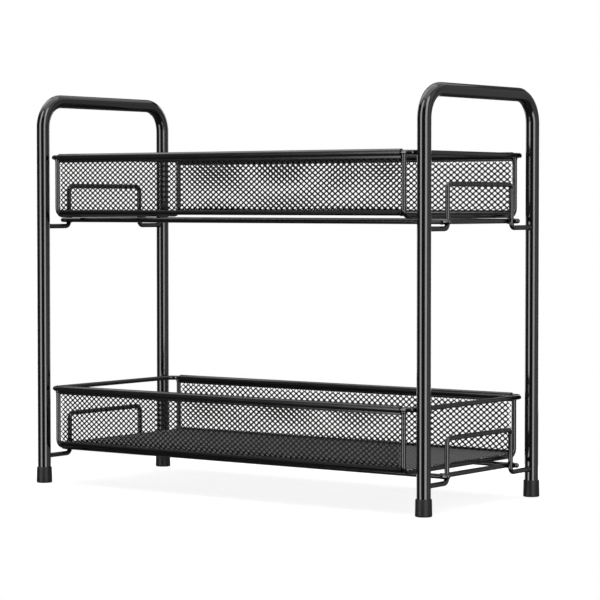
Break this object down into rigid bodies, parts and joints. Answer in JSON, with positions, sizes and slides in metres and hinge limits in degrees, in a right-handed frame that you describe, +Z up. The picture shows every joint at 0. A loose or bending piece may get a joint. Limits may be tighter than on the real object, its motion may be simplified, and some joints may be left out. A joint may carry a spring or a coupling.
{
  "type": "tiered spice rack",
  "caption": "Free-standing tiered counter rack with bent-tube side frames and open-ended wire-mesh baskets for spice jars; the upper basket lifts off, the lower one pulls out.",
  "frame": {"origin": "on the floor, midway between the four feet", "axes": "+Z up, X along the long side with +X to the right seen from the front, -Y to the front"},
  "size_m": [0.4604, 0.1984, 0.38],
  "materials": {
    "tube_gloss_black": "glossy black enamel on steel tube",
    "wire_satin_black": "semi-gloss black enamel on steel wire",
    "mesh_black": "satin black enamel on steel mesh",
    "foot_rubber": "matt dark grey rubber"
  },
  "bodies": {
    "frame": {"side_tube_left": "tube_gloss_black", "foot_front_left": "foot_rubber", "foot_rear_left": "foot_rubber", "side_tube_right": "tube_gloss_black", "foot_front_right": "foot_rubber", "foot_rear_right": "foot_rubber", "lower_bracket_left": "wire_satin_black", "lower_rung_left": "wire_satin_black", "lower_bracket_right": "wire_satin_black", "lower_rung_right": "wire_satin_black", "lower_rail_front": "wire_satin_black", "lower_rail_rear": "wire_satin_black", "upper_bracket_left": "wire_satin_black", "upper_rung_left": "wire_satin_black", "upper_bracket_right": "wire_satin_black", "upper_rung_right": "wire_satin_black", "upper_rail_front": "wire_satin_black", "upper_rail_rear": "wire_satin_black"},
    "upper_basket": {"upper_basket_rim": "wire_satin_black", "upper_basket_mesh_floor": "mesh_black", "upper_basket_end_wire_left": "wire_satin_black", "upper_basket_end_wire_right": "wire_satin_black", "upper_basket_mesh_front": "mesh_black", "upper_basket_hem_front": "wire_satin_black", "upper_basket_bottom_wire_front": "wire_satin_black", "upper_basket_mesh_rear": "mesh_black", "upper_basket_hem_rear": "wire_satin_black", "upper_basket_bottom_wire_rear": "wire_satin_black"},
    "lower_basket": {"lower_basket_rim": "wire_satin_black", "lower_basket_mesh_floor": "mesh_black", "lower_basket_end_wire_left": "wire_satin_black", "lower_basket_end_wire_right": "wire_satin_black", "lower_basket_mesh_front": "mesh_black", "lower_basket_hem_front": "wire_satin_black", "lower_basket_bottom_wire_front": "wire_satin_black", "lower_basket_mesh_rear": "mesh_black", "lower_basket_hem_rear": "wire_satin_black", "lower_basket_bottom_wire_rear": "wire_satin_black"}
  },
  "joints": [
    {"name": "upper_basket_lift", "type": "slide", "parent": "frame", "child": "upper_basket", "axis": [0, 0, 1], "range_m": [0, 0.13]},
    {"name": "lower_basket_pull", "type": "slide", "parent": "frame", "child": "lower_basket", "axis": [0, -1, 0], "range_m": [0, 0.2]}
  ]
}
